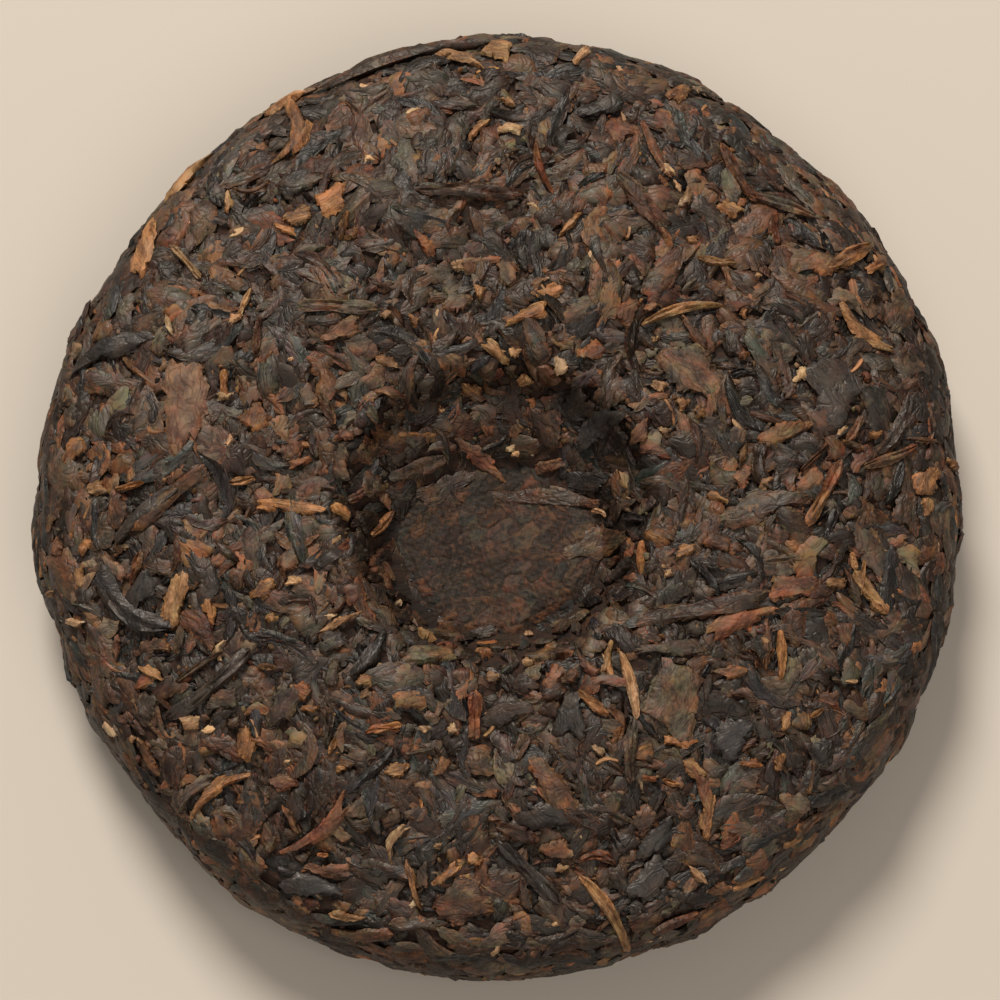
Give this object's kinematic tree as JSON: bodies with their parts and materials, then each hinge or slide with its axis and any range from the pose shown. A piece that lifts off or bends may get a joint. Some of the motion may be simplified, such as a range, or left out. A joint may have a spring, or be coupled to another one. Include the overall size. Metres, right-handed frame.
{
  "type": "ripe pu erh tea cake",
  "caption": "Small round cake of dark pressed tea leaves, lying flat, with a shallow round dimple in its top and rounded shoulders.",
  "frame": {"origin": "under the middle of the cake, on the surface that it lies on", "axes": "+Z up, out of the dimpled side; +X to the right and +Y up in the picture"},
  "size_m": [0.1047, 0.1087, 0.021],
  "materials": {
    "pressed_tea": null
  },
  "bodies": {
    "root": {"tea_cake": "pressed_tea"}
  },
  "joints": []
}
